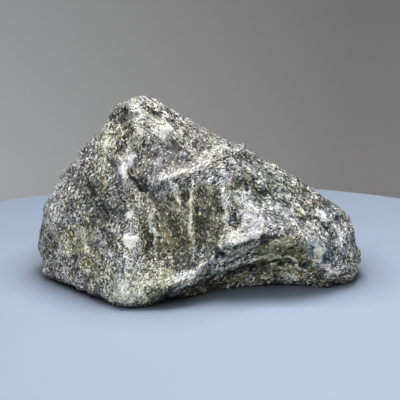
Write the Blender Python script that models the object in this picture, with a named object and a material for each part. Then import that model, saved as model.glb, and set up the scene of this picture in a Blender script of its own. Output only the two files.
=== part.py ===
"""A raw labradorite: one rough stone with broken faces on all sides, standing on a small flat spot.

Metres, +Z up. The viewer looks along +Y, so the front is towards -Y and the right end towards +X.
The origin is on the surface that the stone stands on, under the middle of its box.

The stone is worked out as a distance from its heart along every ray: an outline puffed out to the
front and the back, cut by broken faces, with one hollow taken out. Lumps, chips, dents, ridges and
cracks are then raised from it or sunk into it.
"""

import itertools
import math

import bmesh
import bpy
import numpy as np

MM = 0.001

# The finished stone's length along X. Everything below is drawn at this size, in mm.
LENGTH = 0.16

# A point well inside the stone, from which all of its surface is in sight.
HEART = np.array([12.0, 8.0, 26.0])

# The outline as seen from the front and OUTLINE_VIEW degrees above level: across and up from the
# origin. Below the two ends it is only a wide skirt, because faces and the floor cut it there.
OUTLINE_VIEW = 17
OUTLINE = (
    (79, 4),
    (79.5, 14),
    (75.5, 25),
    (68, 35.5),
    (60, 40.5),
    (53, 43.5),
    (48, 47.5),
    (38.5, 52),
    (28.5, 59),
    (19.5, 62.5),
    (9.5, 68.5),
    (0, 73.5),
    (-12.5, 81),
    (-18, 86),
    (-26, 89),
    (-35, 88),
    (-42, 84),
    (-45, 76.5),
    (-49.5, 69),
    (-58.5, 60),
    (-67.5, 51.5),
    (-73.5, 42),
    (-78, 30),
    (-81, 18),
    (-81, 9),
    (-76.5, -10),
    (-50, -44),
    (10, -50),
    (66, -22),
)
# Angle over which the outline's corners are eased (degrees).
OUTLINE_EASE = 3
# How far the outline is puffed out towards the viewer and towards the back, and how square the
# puffed section is: 2 is an ellipse.
PUFF_FRONT = 66
PUFF_BACK = 50
PUFF_FULLNESS = 3.0

# The broken faces: the way each one faces (turn from the viewer towards the right, tilt above level,
# in degrees) and a point on it.
FACES = {
    "front": (6, 28, (-34, -44, 12)),
    "upper": (0, 60, (0, 16, 74)),
    "knob_flank": (40, 45, (-12, 12, 82)),
    "right_flank": (42, 50, (23, 11, 64)),
    "nose": (54, 12, (70, -17, 14)),
    "left_low": (-47, 12, (-37, -49, 2)),
    "left_high": (-48, 34, (-34, -20, 64)),
    "left_front_underside": (-50, -42, (-52, -33, 3)),
    "left_end_underside": (-95, -35, (-81, 8, 6)),
    "front_underside": (15, -38, (-10, -43, 9)),
    "right_underside": (18, -6, (46, -26, 27)),
    "right_end_underside": (95, -40, (81, 5, 6)),
    "back": (182, 12, (-20, 44, 30)),
    "back_left": (232, 16, (-64, 32, 30)),
    "back_right": (142, 30, (36, 36, 34)),
    "back_top": (182, 50, (-20, 26, 84)),
    "back_underside": (185, -40, (-10, 46, 15)),
    "back_left_underside": (235, -38, (-66, 32, 12)),
    "floor": (0, -90, (0, 0, -5)),
}
# The stone is two lobes grown together: the upper face cuts one, and the knob stands beside it.
MAIN_BLOCK = [name for name in FACES if name != "knob_flank"]
KNOB_BLOCK = [name for name in FACES if name not in ("upper", "right_flank")]
# How sharply faces, lobes and the hollow meet: higher is sharper.
FACE_SHARPNESS = 36
LOBE_SHARPNESS = 50
HOLLOW_SHARPNESS = 50

# The hollow under the right half: the middle and radii of a ball, the turn of its length from the
# right towards the back, and how far that length rises (degrees).
UNDERCUT_MIDDLE = np.array([34.0, -52.0, -8.0])
UNDERCUT_RADII = np.array([52.0, 36.0, 46.0])
UNDERCUT_TURN = 16
UNDERCUT_RISE = 14
# Stands for the distance along a ray that misses the ball.
FAR_OFF = 1e6

# Dents in the front, placed as the outline is: middle, half widths, turn (degrees) and depth.
FRONT_DENTS = {
    "upper_scar": ((-14, 60), (15, 11), 10, 3.0),
    "centre_panel": ((-7, 23), (19, 22), 0, 5.0),
    "left_hollow": ((-43, 32), (12, 14), 10, 3.5),
    "left_low_hollow": ((-60, 20), (9, 8), 0, 1.5),
    "peak_dimple": ((-37, 77), (4, 7), 20, 3.0),
    "dark_dimple": ((17, 28), (3.5, 5), 0, 2.0),
    "lobe_valley": ((40, 35), (14, 6), -30, 2.0),
    "ledge_shadow": ((12, -3), (26, 6), 17, 4.0),
}

# Ridges and cracks on the front, placed as the outline is: a line through points, then the height
# (less than 0 for a crack) and the half width.
FRONT_LINES = {
    "arris": (((-33, 85), (-36, 67), (-38, 57), (-37, 50), (-34, 34), (-34, 11), (-36, -7)), 1.0, 3.0),
    "scar_rim": (((-24, 46), (-7, 51), (5, 57), (20, 62)), 1.8, 3.0),
    "scar_left_rim": (((-24, 46), (-28, 57), (-24, 68), (-17, 74)), 1.0, 3.0),
    "panel_flute": (((-4, 43), (-4, 8)), 1.3, 2.2),
    "panel_left_flute": (((-12, 45), (-8, 35), (-9, 24)), 1.0, 2.2),
    "panel_right_flute": (((4, 47), (6, 30), (3, 16)), 0.8, 2.5),
    "shoulder": (((7, 57), (14, 45), (13, 30), (16, 20)), 1.6, 4.0),
    "ledge": (((-32, -12), (-15, -4), (15, 4), (30, 12), (41, 18), (50, 19), (58, 14)), 1.8, 3.5),
    "panel_crack": (((-28, 37), (-23, 16), (-19, 11)), -1.2, 1.4),
    "short_crack": (((-28, 43), (-22, 38)), -1.0, 1.2),
}
# Depth from the widest section over which the front's dents and lines fade out.
FRONT_FADE = 10

# Relief all over: lumps as size and height, and chips as size and steepness.
LUMPS = ((26, 1.4), (13, 0.7), (7, 0.4))
CHIPS = ((15, 0.08), (8, 0.1))
CHIP_SHARPNESS = 10
# Cells along each side of the lattice that lumps and chips repeat over.
LATTICE = 24
# Brings the blend of random slopes to heights from about -1 to 1.
LUMP_GAIN = 1.6

# The ball that the stone is worked from, stretched to even out its triangles, and the share kept.
BLANK_RADII = np.array([76.0, 46.0, 46.0])
BLANK_SUBDIVISIONS = 7
KEPT_SHARE = 0.14

STONE_COLOUR = (0.135, 0.14, 0.115, 1)
STONE_ROUGHNESS = 0.55


def facing(turn, tilt):
    """Unit vector that points turn degrees from the viewer towards the right, and tilt degrees up."""
    turn, tilt = math.radians(turn), math.radians(tilt)
    level = math.cos(tilt)
    return np.array([math.sin(turn) * level, -math.cos(turn) * level, math.sin(tilt)])


OUTLINE_UP = facing(180, 90 - OUTLINE_VIEW)
OUTLINE_AWAY = facing(180, -OUTLINE_VIEW)


def outline_reach(angles):
    """Distance from the heart to the outline, a closed ring of straight stretches, at each angle."""
    corners = np.array(OUTLINE, float) - (HEART[0], HEART @ OUTLINE_UP)
    corner_angles = np.arctan2(corners[:, 1], corners[:, 0])
    order = np.argsort(corner_angles)
    corners, corner_angles = corners[order], corner_angles[order]
    wrapped = (angles + math.pi) % (2 * math.pi) - math.pi
    after = np.searchsorted(corner_angles, wrapped) % len(corners)
    start = corners[after - 1]
    run = corners[after] - start
    area = start[:, 0] * run[:, 1] - start[:, 1] * run[:, 0]
    return area / (np.cos(wrapped) * run[:, 1] - np.sin(wrapped) * run[:, 0])


def puffed_nearness(rays):
    """One over the distance to the outline puffed out: a rounded lens with the outline as its rim."""
    right, high, deep = rays[:, 0], rays @ OUTLINE_UP, rays @ OUTLINE_AWAY
    angles = np.arctan2(high, right)
    eased = [outline_reach(angles + math.radians(turn)) for turn in (-OUTLINE_EASE, 0, OUTLINE_EASE)]
    rim = np.hypot(right, high) / (sum(eased) / len(eased))
    puff = np.where(deep < 0, -deep / PUFF_FRONT, deep / PUFF_BACK)
    return (rim**PUFF_FULLNESS + puff**PUFF_FULLNESS) ** (1 / PUFF_FULLNESS)


def lobe_reach(rays, names):
    """Distance from the heart to a lobe: a power mean of the distances to its faces and outline."""
    nearness = puffed_nearness(rays) ** FACE_SHARPNESS
    for turn, tilt, point in (FACES[name] for name in names):
        normal = facing(turn, tilt)
        distance = normal @ (np.array(point) - HEART)
        nearness += np.maximum(rays @ normal / distance, 0) ** FACE_SHARPNESS
    return nearness ** (-1 / FACE_SHARPNESS)


def undercut_reach(rays):
    """Distance from the heart at which a ray enters the undercut's ball, or FAR_OFF if it misses."""
    along = facing(90 + UNDERCUT_TURN, UNDERCUT_RISE)
    inward = facing(180 + UNDERCUT_TURN, 0)
    axes = np.array([along, inward, np.cross(along, inward)])
    start = axes @ (HEART - UNDERCUT_MIDDLE) / UNDERCUT_RADII
    step = rays @ axes.T / UNDERCUT_RADII
    square = (step**2).sum(axis=1)
    slant = step @ start
    discriminant = slant**2 - square * (start @ start - 1)
    enters = (discriminant > 0) & (slant < 0)
    return np.where(enters, (-slant - np.sqrt(np.maximum(discriminant, 0))) / square, FAR_OFF)


def body_reach(rays):
    """Distance from the heart to the main form: the further of the lobes, less the hollow."""
    lobes = [lobe_reach(rays, names) for names in (MAIN_BLOCK, KNOB_BLOCK)]
    reach = sum(lobe**LOBE_SHARPNESS for lobe in lobes) ** (1 / LOBE_SHARPNESS)
    nearness = reach**-HOLLOW_SHARPNESS + undercut_reach(rays) ** -HOLLOW_SHARPNESS
    return nearness ** (-1 / HOLLOW_SHARPNESS)


def lump_height(points, size, seed):
    """Smooth noise from about -1 to 1: a random slope at each corner of a cubic lattice, blended."""
    slopes = np.random.default_rng(seed).normal(size=(LATTICE, LATTICE, LATTICE, 3))
    slopes /= np.linalg.norm(slopes, axis=3)[..., None]
    cells = points / size
    base = np.floor(cells).astype(int)
    inside = cells - base
    fade = inside**3 * (inside * (inside * 6 - 15) + 10)
    total = np.zeros(len(points))
    for corner in itertools.product((0, 1), repeat=3):
        slope = slopes[tuple(((base + corner) % LATTICE).T)]
        weight = np.where(corner, fade, 1 - fade).prod(axis=1)
        total += weight * (slope * (inside - corner)).sum(axis=1)
    return total * LUMP_GAIN


def chip_height(points, size, seed):
    """Height of small flat breaks: near each seed point the surface is a plane of its own slope."""
    rng = np.random.default_rng(seed)
    seeds = rng.random((LATTICE, LATTICE, LATTICE, 3))
    slopes = rng.normal(size=(LATTICE, LATTICE, LATTICE, 3))
    cells = points / size
    base = np.floor(cells).astype(int)
    total = np.zeros(len(points))
    weights = np.zeros(len(points))
    for step in itertools.product((-1, 0, 1), repeat=3):
        cell = base + step
        index = tuple((cell % LATTICE).T)
        away = cells - cell - seeds[index]
        weight = np.exp(-CHIP_SHARPNESS * (away**2).sum(axis=1))
        total += weight * (slopes[index] * away).sum(axis=1)
        weights += weight
    return total / weights * size


def dent_share(spots, middle, halves, turn):
    """From 0 to 1: how far each spot is inside a flat-bottomed oval dent."""
    turn = math.radians(turn)
    across, up = (spots - middle).T
    along = (across * math.cos(turn) + up * math.sin(turn)) / halves[0]
    beside = (up * math.cos(turn) - across * math.sin(turn)) / halves[1]
    return np.exp(-((along**2 + beside**2) ** 2))


def line_share(spots, line, half_width):
    """From 0 to 1: how near each spot is to a line through the given points."""
    gap = np.full(len(spots), np.inf)
    for start, end in zip(line, line[1:]):
        run = np.subtract(end, start)
        along = np.clip((spots - start) @ run / (run @ run), 0, 1)
        gap = np.minimum(gap, np.linalg.norm(spots - start - along[:, None] * run, axis=1))
    return np.exp(-((gap / half_width) ** 2))


def relief(points):
    """Height of lumps, chips, dents, ridges and cracks at points of the main form."""
    height = np.zeros(len(points))
    for seed, (size, lump) in enumerate(LUMPS):
        height += lump * lump_height(points, size, seed)
    for seed, (size, steepness) in enumerate(CHIPS):
        height += steepness * chip_height(points, size, len(LUMPS) + seed)
    spots = np.stack([points[:, 0], points @ OUTLINE_UP], axis=1)
    in_front = np.clip(0.5 - (points - HEART) @ OUTLINE_AWAY / FRONT_FADE, 0, 1)
    for middle, halves, turn, depth in FRONT_DENTS.values():
        height -= in_front * depth * dent_share(spots, middle, halves, turn)
    for line, line_height, half_width in FRONT_LINES.values():
        height += in_front * line_height * line_share(spots, line, half_width)
    return height


def make_blank():
    """A ball of even triangles, as an object."""
    mesh = bpy.data.meshes.new("blank")
    bm = bmesh.new()
    bmesh.ops.create_icosphere(bm, subdivisions=BLANK_SUBDIVISIONS, radius=1)
    bm.to_mesh(mesh)
    bm.free()
    return bpy.data.objects.new("blank", mesh)


def read_points(mesh, name="co"):
    values = np.empty(len(mesh.vertices) * 3)
    mesh.vertices.foreach_get(name, values)
    return values.reshape(-1, 3)


def write_points(mesh, points):
    mesh.vertices.foreach_set("co", points.ravel())
    mesh.update()


def work_blank(blank):
    """Move the ball's points to the main form, then along its slope by the relief."""
    mesh = blank.data
    rays = read_points(mesh) * BLANK_RADII
    rays /= np.linalg.norm(rays, axis=1)[:, None]
    form = HEART + rays * body_reach(rays)[:, None]
    write_points(mesh, form)
    push = rays + read_points(mesh, "normal")
    push /= np.linalg.norm(push, axis=1)[:, None]
    write_points(mesh, (form + push * relief(form)[:, None]) * MM)


def thinned(obj, share):
    """A new mesh of the object that keeps only a share of its triangles, most where it bends."""
    modifier = obj.modifiers.new("thin", "DECIMATE")
    modifier.ratio = share
    evaluated = obj.evaluated_get(bpy.context.evaluated_depsgraph_get())
    return bpy.data.meshes.new_from_object(evaluated)


def cut_flat(mesh):
    """Cut the mesh off at the surface that the stone stands on, and close it with one flat face."""
    bm = bmesh.new()
    bm.from_mesh(mesh)
    cut = bmesh.ops.bisect_plane(
        bm,
        geom=bm.verts[:] + bm.edges[:] + bm.faces[:],
        plane_co=(0, 0, 0),
        plane_no=(0, 0, -1),
        clear_outer=True,
    )
    rim = [piece for piece in cut["geom_cut"] if isinstance(piece, bmesh.types.BMEdge)]
    bmesh.ops.edgeloop_fill(bm, edges=rim)
    bmesh.ops.recalc_face_normals(bm, faces=bm.faces[:])
    bm.to_mesh(mesh)
    bm.free()


def fit_length(mesh):
    """Scale the mesh to LENGTH, and put the origin under the middle of its box."""
    points = read_points(mesh)
    low, high = points.min(axis=0), points.max(axis=0)
    middle = (low + high) / 2
    middle[2] = 0
    write_points(mesh, (points - middle) * LENGTH / (high - low)[0])


def stone_material():
    material = bpy.data.materials.new("grey green stone")
    material.use_nodes = True
    shader = material.node_tree.nodes["Principled BSDF"]
    shader.inputs["Base Color"].default_value = STONE_COLOUR
    shader.inputs["Roughness"].default_value = STONE_ROUGHNESS
    shader.inputs["Metallic"].default_value = 0
    return material


def make_stone(group):
    blank = make_blank()
    group.objects.link(blank)
    work_blank(blank)
    mesh = thinned(blank, KEPT_SHARE)
    bpy.data.objects.remove(blank)
    mesh.name = "stone"
    cut_flat(mesh)
    fit_length(mesh)
    mesh.materials.append(stone_material())
    group.objects.link(bpy.data.objects.new("stone", mesh))


def main():
    for obj in list(bpy.data.objects):
        bpy.data.objects.remove(obj)
    group = bpy.data.collections.new("raw labradorite")
    bpy.context.scene.collection.children.link(group)
    make_stone(group)


main()
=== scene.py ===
"""A raw labradorite: one rough stone, dressed, on a pale round floor under soft light.

Metres, +Z up. The viewer looks along +Y, the stone's low end is towards +X, and the origin is on the
floor under the middle of its box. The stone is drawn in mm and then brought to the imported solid's box.

Its form is a distance from its heart along every ray of a grid of two parameters. Relief, coarse and
fine, is raised from that form. Streaks, tones and tints follow named places on the front and on the
other sides, and the material turns them into grains.
"""

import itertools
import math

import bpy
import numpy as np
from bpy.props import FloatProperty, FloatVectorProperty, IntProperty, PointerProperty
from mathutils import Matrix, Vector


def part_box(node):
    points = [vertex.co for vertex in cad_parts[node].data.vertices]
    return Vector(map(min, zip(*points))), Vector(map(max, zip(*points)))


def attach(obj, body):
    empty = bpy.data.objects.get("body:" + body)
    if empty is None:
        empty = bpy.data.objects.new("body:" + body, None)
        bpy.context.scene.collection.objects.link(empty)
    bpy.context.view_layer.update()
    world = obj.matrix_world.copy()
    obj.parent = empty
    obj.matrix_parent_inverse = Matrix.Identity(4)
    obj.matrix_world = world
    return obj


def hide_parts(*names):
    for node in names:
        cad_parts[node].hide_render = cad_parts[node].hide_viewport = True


bl_info = {
    "name": "Raw Labradorite",
    "version": (1, 0, 0),
    "blender": (4, 5, 0),
    "location": "View3D > Sidebar > Labradorite",
    "description": "Builds a rough labradorite stone and a plain stage for it",
    "category": "Add Mesh",
}

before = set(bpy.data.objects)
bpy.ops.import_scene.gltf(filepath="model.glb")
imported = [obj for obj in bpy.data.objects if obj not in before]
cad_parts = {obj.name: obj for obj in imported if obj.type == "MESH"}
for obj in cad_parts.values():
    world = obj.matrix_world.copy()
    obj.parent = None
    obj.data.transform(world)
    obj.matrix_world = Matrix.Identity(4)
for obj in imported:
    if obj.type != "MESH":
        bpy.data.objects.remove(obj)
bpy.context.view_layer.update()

MM = 0.001

# A point well inside the stone, from which all of its surface is in sight.
HEART = np.array([12.0, 8.0, 26.0])

# The outline as seen from the front and OUTLINE_VIEW degrees above level: across and up from the
# origin. Below the two ends it is only a wide skirt, because faces and the floor cut it there.
OUTLINE_VIEW = 17
OUTLINE = (
    (79, 4), (79.5, 14), (75.5, 25), (68, 35.5), (60, 40.5), (53, 43.5), (48, 47.5), (38.5, 52),
    (28.5, 59), (19.5, 62.5), (9.5, 68.5), (0, 73.5), (-12.5, 81), (-18, 86), (-26, 89), (-35, 88),
    (-42, 84), (-45, 76.5), (-49.5, 69), (-58.5, 60), (-67.5, 51.5), (-73.5, 42), (-78, 30),
    (-81, 18), (-81, 9), (-76.5, -10), (-50, -44), (10, -50), (66, -22),
)
# Angle over which the outline's corners are eased (degrees).
OUTLINE_EASE = 3
# How far the outline is puffed out towards the viewer and towards the back, and how square the
# puffed section is: 2 is an ellipse.
PUFF_FRONT = 66
PUFF_BACK = 50
PUFF_FULLNESS = 3.0

# The broken faces: the way each one faces (turn from the viewer towards the right, tilt above level,
# in degrees) and a point on it.
FACES = {
    "front": (6, 28, (-34, -44, 12)),
    "upper": (0, 60, (0, 16, 74)),
    "knob_flank": (40, 45, (-12, 12, 82)),
    "right_flank": (42, 50, (23, 11, 64)),
    "nose": (54, 12, (70, -17, 14)),
    "left_low": (-47, 12, (-37, -49, 2)),
    "left_high": (-48, 34, (-34, -20, 64)),
    "left_front_underside": (-50, -42, (-52, -33, 3)),
    "left_end_underside": (-95, -35, (-81, 8, 6)),
    "front_underside": (15, -38, (-10, -43, 9)),
    "right_underside": (18, -6, (46, -26, 27)),
    "right_end_underside": (95, -40, (81, 5, 6)),
    "back": (182, 12, (-20, 44, 30)),
    "back_left": (232, 16, (-64, 32, 30)),
    "back_right": (142, 30, (36, 36, 34)),
    "back_top": (182, 50, (-20, 26, 84)),
    "back_underside": (185, -40, (-10, 46, 15)),
    "back_left_underside": (235, -38, (-66, 32, 12)),
    "floor": (0, -90, (0, 0, -5)),
}
# The stone is two lobes grown together: the upper face cuts one, and the knob stands beside it.
MAIN_BLOCK = [name for name in FACES if name != "knob_flank"]
KNOB_BLOCK = [name for name in FACES if name not in ("upper", "right_flank")]
# How sharply faces, lobes and the hollow meet: higher is sharper.
FACE_SHARPNESS = 36
LOBE_SHARPNESS = 50
HOLLOW_SHARPNESS = 50

# The hollow under the right half: the middle and radii of a ball, the turn of its length from the
# right towards the back, and how far that length rises (degrees).
UNDERCUT_MIDDLE = np.array([34.0, -52.0, -8.0])
UNDERCUT_RADII = np.array([52.0, 36.0, 46.0])
UNDERCUT_TURN = 16
UNDERCUT_RISE = 14
# Stands for the distance along a ray that misses the ball.
FAR_OFF = 1e6

# Dents in the front, placed as the outline is: middle, half widths, turn (degrees) and depth.
FRONT_DENTS = {
    "upper_scar": ((-14, 60), (15, 11), 10, 3.0),
    "centre_panel": ((-7, 23), (19, 22), 0, 5.0),
    "left_hollow": ((-43, 32), (12, 14), 10, 3.5),
    "left_low_hollow": ((-60, 20), (9, 8), 0, 1.5),
    "peak_dimple": ((-37, 77), (4, 7), 20, 3.0),
    "dark_dimple": ((17, 28), (3.5, 5), 0, 2.0),
    "lobe_valley": ((40, 35), (14, 6), -30, 2.0),
    "ledge_shadow": ((12, -3), (26, 6), 17, 4.0),
}

# Ridges and cracks on the front, placed as the outline is: a line through points, then the height
# (less than 0 for a crack), the half width and how much lighter the grain is there.
FRONT_LINES = {
    "arris": (((-33, 85), (-36, 67), (-38, 57), (-37, 50), (-34, 34), (-34, 11), (-36, -7)), 1.0, 3.0, 0.12),
    "scar_rim": (((-24, 46), (-7, 51), (5, 57), (20, 62)), 1.8, 3.0, 0.14),
    "scar_left_rim": (((-24, 46), (-28, 57), (-24, 68), (-17, 74)), 1.0, 3.0, 0.06),
    "panel_flute": (((-4, 43), (-4, 8)), 1.3, 2.2, 0.26),
    "panel_left_flute": (((-12, 45), (-8, 35), (-9, 24)), 1.0, 2.2, 0.24),
    "panel_right_flute": (((4, 47), (6, 30), (3, 16)), 0.8, 2.5, 0.12),
    "shoulder": (((7, 57), (14, 45), (13, 30), (16, 20)), 1.6, 4.0, 0.14),
    "ledge": (((-32, -12), (-15, -4), (15, 4), (30, 12), (41, 18), (50, 19), (58, 14)), 1.8, 3.5, 0.06),
    "panel_crack": (((-28, 37), (-23, 16), (-19, 11)), -1.2, 1.4, -0.3),
    "short_crack": (((-28, 43), (-22, 38)), -1.0, 1.2, -0.4),
}
# Depth from the widest section over which the front's dents and lines fade out.
FRONT_FADE = 10

# Relief all over: lumps as size and height, and chips as size and steepness.
LUMPS = ((26, 1.4), (13, 0.7), (7, 0.4))
CHIPS = ((15, 0.08), (8, 0.1))
CHIP_SHARPNESS = 10
# Cells along each side of the lattice that lumps and chips repeat over.
LATTICE = 24
# Brings the blend of random slopes to heights from about -1 to 1.
LUMP_GAIN = 1.6

# The ball that the rays are taken from is stretched like the stone, to even out its triangles.
BLANK_RADII = np.array([76.0, 46.0, 46.0])
# Where the grid is densest: degrees above level, towards the viewer, and by what share.
DENSE_TILT = 25
DENSE_SHARE = 0.35

# How many times the way that relief is raised is averaged over the grid.
PUSH_EASE = 12

# Finer relief, which only this surface has: streaks as width and height, grains as size and height,
# and chips as size and steepness, how sharply they meet and how high they may be for their size.
STREAKS = ((4.2, 0.32), (2.2, 0.2))
STREAK_SEED = 20
GRAINS = ((1.7, 0.1),)
GRAIN_SEED = 24
FINE_CHIPS = ((11, 0.09), (5.2, 0.11), (2.8, 0.1))
FINE_CHIP_SHARPNESS = 26
FINE_CHIP_LIMIT = 0.36
FINE_CHIP_SEED = 22
# No point of the fine relief stands further than this from the mean of the points round it.
SPIKE_LIMIT = 0.4

# The way the rock's streaks run. In front, a place is across and up as the outline is; elsewhere it
# is a point. Then the streak's angle from the right (degrees) and how much longer than wide it is.
FRONT_STREAKS = (
    ((-62, 50), 52, 2.6), ((-74, 26), 74, 2.2), ((-52, 42), 56, 1.7), ((-62, 18), 95, 1.4),
    ((-52, 2), 120, 1.5), ((-44, 27), 62, 1.4), ((-34, -6), 18, 1.6), ((-26, 84), -24, 2.6),
    ((-18, 76), -42, 3.0), ((-41, 76), 72, 2.0), ((-36, 58), 72, 2.2), ((-34, 26), 86, 1.5),
    ((-14, 57), 34, 1.5), ((6, 66), -36, 1.6), ((4, 54), 26, 2.6), ((-15, 26), 104, 1.5),
    ((3, 30), 92, 1.9), ((2, 10), 66, 1.5), ((-20, 3), 40, 1.4), ((32, 50), -34, 3.0), ((28, 36), -40, 2.6),
    ((21, 23), 22, 1.9), ((-12, -5), 26, 3.6), ((10, 6), 30, 3.6), ((32, 16), 20, 3.2), ((40, 10), 4, 2.4),
    ((56, 34), -42, 2.2), ((60, 20), -62, 2.2), ((72, 12), -76, 2.0), ((62, 0), 8, 2.6),
)
OTHER_STREAKS = (
    ((-25, 35, 68), 48, 2.0), ((-62, 28, 34), 66, 2.0), ((-50, 42, 12), 20, 2.2), ((-8, 44, 40), -18, 2.6),
    ((0, 42, 12), -6, 2.4), ((44, 38, 26), -34, 2.6), ((60, 36, 8), -12, 2.2), ((-78, 8, 18), 82, 1.6),
    ((-62, 6, 46), 60, 2.0), ((80, 10, 14), -80, 2.0), ((26, 20, 52), -32, 2.8), ((0, 0, 0), 10, 1.6),
)
# The grain is drawn out less than the relief: its stretch is the relief's to this power.
GRAIN_STRETCH = 0.6
# How much longer than wide a streak is into the stone, the reach over which two ways of running
# blend in the relief, and the least share of one that counts.
INWARD_STRETCH = 1.7
STREAK_BLEND = 9
LEAST_SHARE = 0.01
# Size and depth of the jags where two ways of running meet in the grain.
JAG_SIZE = 7
JAG_DEPTH = 5
JAG_SEED = 29

# Tints, as shares of red, green and blue in the grey of the grain.
TINTS = {
    "grey": (1.0, 1.0, 0.92),
    "green": (0.96, 1.0, 0.86),
    "olive": (1.0, 0.98, 0.58),
    "moss": (1.0, 0.96, 0.48),
    "brown": (1.0, 0.94, 0.72),
    "yellow": (1.0, 1.0, 0.72),
    "blue": (0.92, 0.99, 1.02),
    "plum": (1.01, 0.97, 0.97),
    "white": (1.0, 1.0, 0.98),
}
# Patches on the front, placed as the outline is: middle, half widths, turn (degrees), how much
# lighter the grain is there (less than 0 for darker), its tint, and how calm it is, from 0, as
# elsewhere, to 1, one even tone. Three of them are painted shade or painted light, as marked.
FRONT_PATCHES = {
    "left_dark": ((-47, 32), (11, 8), 20, -0.08, "grey", 0.6),
    "left_edge": ((-71, 36), (5.5, 15), -20, 0.22, "green", 0.25),
    "left_high_yellow": ((-43, 68), (5, 8), -30, 0.26, "yellow", 0.35),
    "left_olive": ((-48, 44), (5, 5), 0, -0.03, "olive", 0.5),
    "left_low_yellow": ((-62, 18), (9, 8), 0, 0.22, "moss", 0.25),
    "left_low_grey": ((-50, 4), (10, 7), -30, 0.06, "olive", 0),
    "left_white": ((-33.5, 17.5), (4, 3), 40, 0.84, "yellow", 0.7),
    "left_small_white": ((-34.5, 30.5), (2.2, 1.8), 30, 0.64, "yellow", 0.6),
    "front_corner": ((-35, -6), (12, 6), -10, 0.26, "yellow", 0),
    "peak_dark": ((-41, 79), (4, 6), 20, -0.42, "grey", 0),
    "peak_olive": ((-37, 72), (5, 5), 0, -0.17, "olive", 0.3),
    "knob_top": ((-27, 84), (9, 4), -20, 0.0, "grey", 0.35),
    "knob_right": ((-21, 78), (8, 3), -40, -0.03, "yellow", 0.4),
    "knob_white": ((-18, 71), (3.5, 2.4), 20, 0.38, "blue", 0.5),
    "knob_front": ((-29, 73), (6, 7), 60, 0.1, "grey", 0.35),
    "arris_dark": ((-38, 64), (3, 5), 20, -0.24, "plum", 0.4),
    "arris_white": ((-35, 55), (2.8, 7), -30, 0.3, "white", 0.3),
    "scar": ((-14.5, 57), (13, 9), 10, 0.12, "plum", 0.85),
    "scar_low": ((-24, 50), (5, 5), 0, -0.12, "plum", 0.7),
    "tan": ((5, 67), (10, 6), -30, 0.05, "grey", 0.65),
    "tan_white": ((1.5, 58), (4, 3), 40, 0.32, "white", 0.6),
    "tan_dark": ((-1.5, 63), (1.5, 4), 0, -0.26, "brown", 0),
    "scar_corner": ((-29, 45), (6, 3.5), -20, -0.04, "plum", 0.4),
    "panel": ((-4, 24), (17, 20), 0, -0.03, "olive", 0.6),
    "panel_brown": ((-14.5, 20), (9, 9), 0, 0.02, "moss", 0.65),
    "panel_orange": ((-8, 37), (2.5, 4), 0, -0.4, "moss", 0),
    "panel_dark": ((3, 33), (7, 15), 0, -0.05, "olive", 0.7),
    # Painted shade in the crevice beside the panel's crack.
    "crevice_painted_shade": ((-26, 20), (3.5, 11), 8, -0.25, "olive", 0),
    "panel_low": ((3, 9), (11, 8), 20, -0.03, "green", 0),
    "low_yellow": ((-21, 2.5), (8, 6.5), 10, 0.16, "olive", 0.2),
    "shoulder": ((8, 50), (8, 4), 20, -0.02, "blue", 0.2),
    "body_white_high": ((20, 40), (3.6, 4.4), 0, 0.3, "blue", 0),
    "body_white": ((23.5, 31.5), (6, 4.6), 0, 0.31, "white", 0),
    "body_band": ((22, 23), (11, 4.6), 22, 0.37, "white", 0.25),
    "body_dark": ((15.5, 29), (2.8, 5), 0, -0.24, "grey", 0),
    "body_streaked": ((33, 32), (14, 7), -20, 0.12, "blue", 0),
    "body_skyline": ((34, 48), (17, 6), -32, 0.04, "green", 0.35),
    "body_yellow": ((48, 32), (4.4, 3.2), -30, 0.26, "yellow", 0),
    "lobe_olive": ((53, 38), (10, 3.5), -20, -0.09, "brown", 0),
    "ledge_light": ((10, 8), (22, 3.2), 28, 0.07, "green", 0.2),
    "ledge_tip": ((-22, -8), (11, 3), 20, -0.36, "olive", 0),
    # Painted shade in the groove under the ledge's lip.
    "under_ledge_painted_shade": ((12, -1), (22, 2.8), 22, -0.18, "moss", 0),
    # Painted light in the recess under the ledge, over its own moss tint.
    "recess_painted_light": ((40, 11), (15, 9), 0, 0.1, "moss", 0.6),
    "recess_low": ((44, 2), (18, 2), 2, -0.05, "moss", 0),
    "lobe": ((63, 20), (12, 16), -20, 0.03, "blue", 0.2),
    "lobe_green": ((56.5, 11), (2.6, 5), -20, 0.36, "moss", 0),
    "lobe_white": ((65, 4.5), (4, 2.6), 0, 0.34, "white", 0.4),
    "nose_yellow": ((75, 6), (2.2, 2.8), 0, 0.04, "olive", 0),
}
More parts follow.
